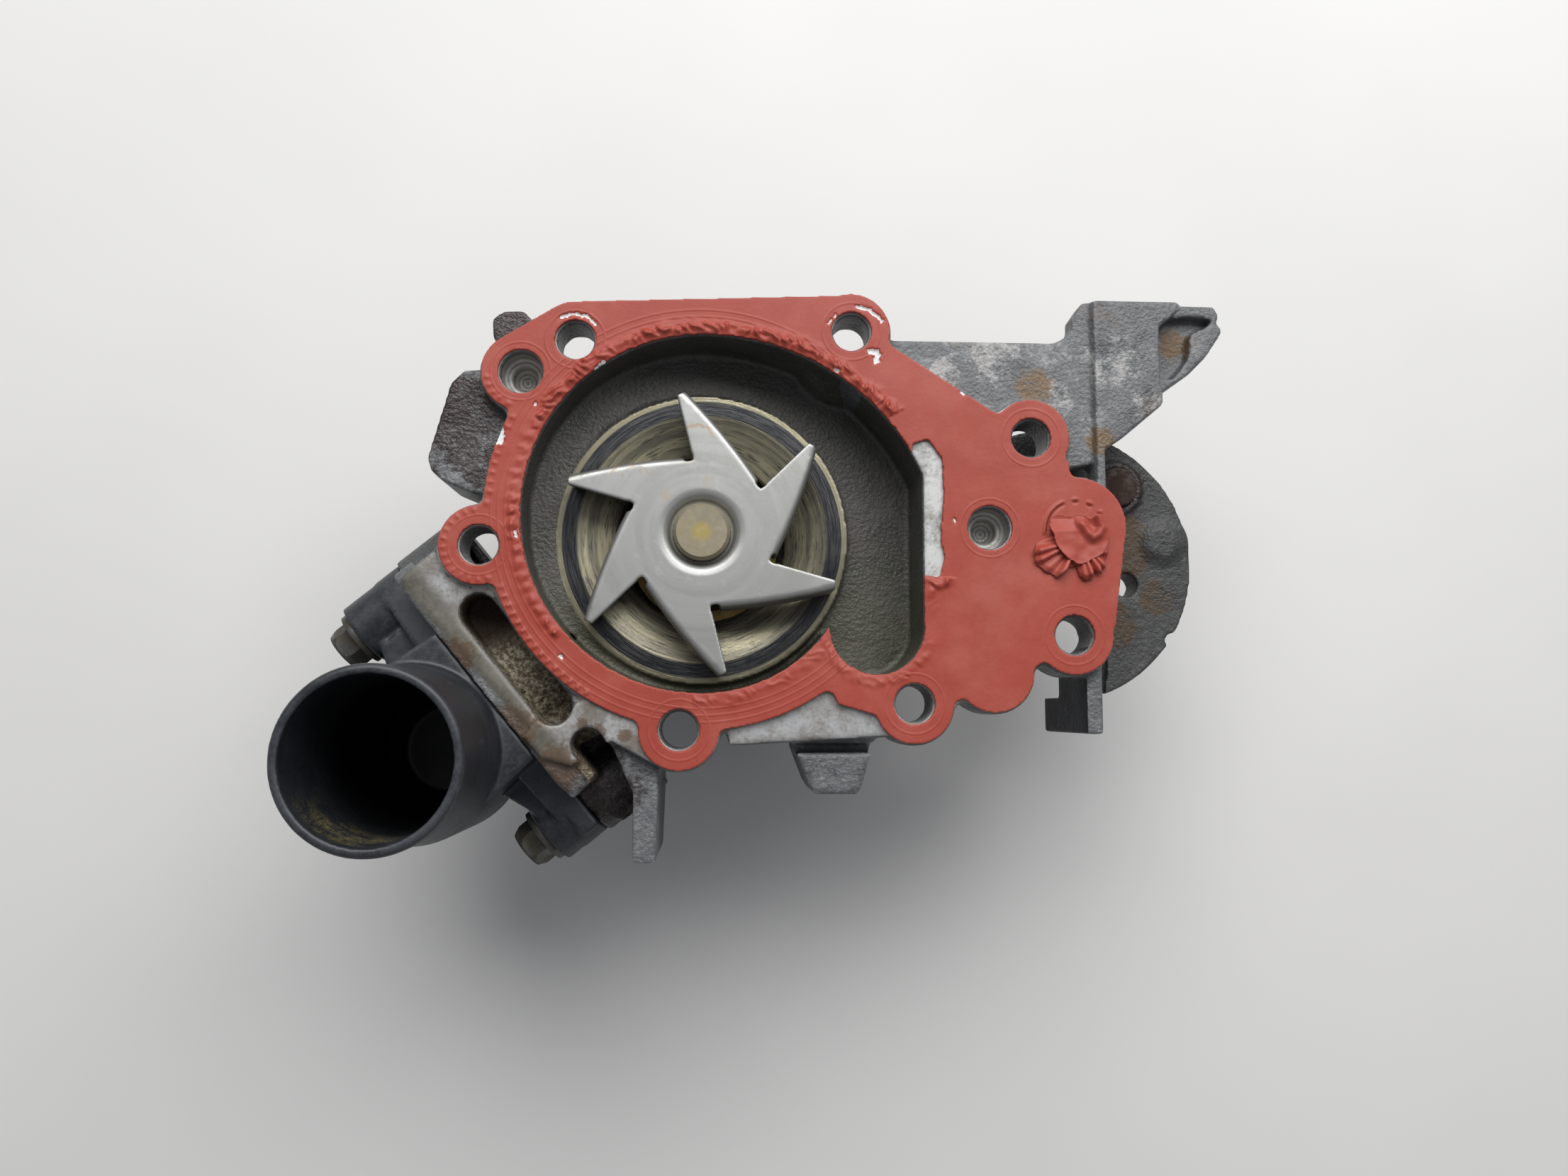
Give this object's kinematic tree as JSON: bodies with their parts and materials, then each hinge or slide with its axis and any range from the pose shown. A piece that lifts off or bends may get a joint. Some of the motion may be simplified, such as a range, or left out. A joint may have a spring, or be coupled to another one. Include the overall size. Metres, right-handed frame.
{
  "type": "water pump",
  "caption": "Engine coolant pump: cast body with round volute, pressed impeller, red face gasket, black hose elbow and toothed belt pulley.",
  "frame": {"origin": "on the shaft axis, at the gasket's engine face", "axes": "+Z along the shaft out of the mating face towards the engine, +X along the long end of the flange, +Y across it"},
  "size_m": [0.1817, 0.1137, 0.097],
  "materials": {
    "cast_aluminium": "weathered die casting",
    "red_gasket": "matte coated sheet",
    "pressed_steel": "satin, stained",
    "ground_steel": "ground",
    "bearing_steel": "polished",
    "zinc_steel": "dull zinc plate",
    "rusty_steel": "rusted",
    "sintered_steel": "matte sintered",
    "black_plastic": "moulded, satin",
    "cage_plastic": "moulded",
    "black_rubber": "matte",
    "carbon": "lapped",
    "ceramic": "lapped",
    "brass_cup": "drawn"
  },
  "bodies": {
    "housing": {"pump_housing": "cast_aluminium", "gasket": "red_gasket", "bearing_outer_ring": "bearing_steel", "front_bearing_seal": "black_rubber", "rear_bearing_seal": "black_rubber", "seal_case": "brass_cup", "seal_bellows": "black_rubber", "seal_spring": "ground_steel", "inlet_elbow": "black_plastic", "elbow_seal_ring": "black_rubber", "tensioner_pin": "rusty_steel", "upper_elbow_bolt": "zinc_steel", "lower_elbow_bolt": "zinc_steel", "upper_elbow_bush": "zinc_steel", "lower_elbow_bush": "zinc_steel"},
    "rotor": {"shaft": "ground_steel", "impeller": "pressed_steel", "drive_pulley": "sintered_steel", "pulley_flange": "pressed_steel", "shaft_slinger": "black_rubber", "seal_seat": "ceramic", "seat_boot": "black_rubber"},
    "front_cage": {"front_ball_row": "bearing_steel", "front_ball_cage": "cage_plastic"},
    "rear_cage": {"rear_ball_row": "bearing_steel", "rear_ball_cage": "cage_plastic"},
    "seal_face": {"carbon_ring": "carbon"}
  },
  "joints": [
    {"name": "shaft_spin", "type": "hinge", "parent": "housing", "child": "rotor", "pos_m": [0, 0, -0.05], "axis": [0, 0, 1], "continuous": true},
    {"name": "front_cage_spin", "type": "hinge", "parent": "housing", "child": "front_cage", "pos_m": [0, 0, -0.044], "axis": [0, 0, 1], "continuous": true},
    {"name": "rear_cage_spin", "type": "hinge", "parent": "housing", "child": "rear_cage", "pos_m": [0, 0, -0.055], "axis": [0, 0, 1], "continuous": true},
    {"name": "seal_float", "type": "slide", "parent": "housing", "child": "seal_face", "axis": [0, 0, 1], "range_m": [-0.001, 0], "stiffness_N_per_m": 2000, "springref_m": 0.004, "deforming": ["seal_bellows", "seal_spring"]}
  ],
  "couplings": [
    {"joint": "front_cage_spin", "follows": "shaft_spin", "ratio": 0.3824},
    {"joint": "rear_cage_spin", "follows": "shaft_spin", "ratio": 0.3824}
  ]
}
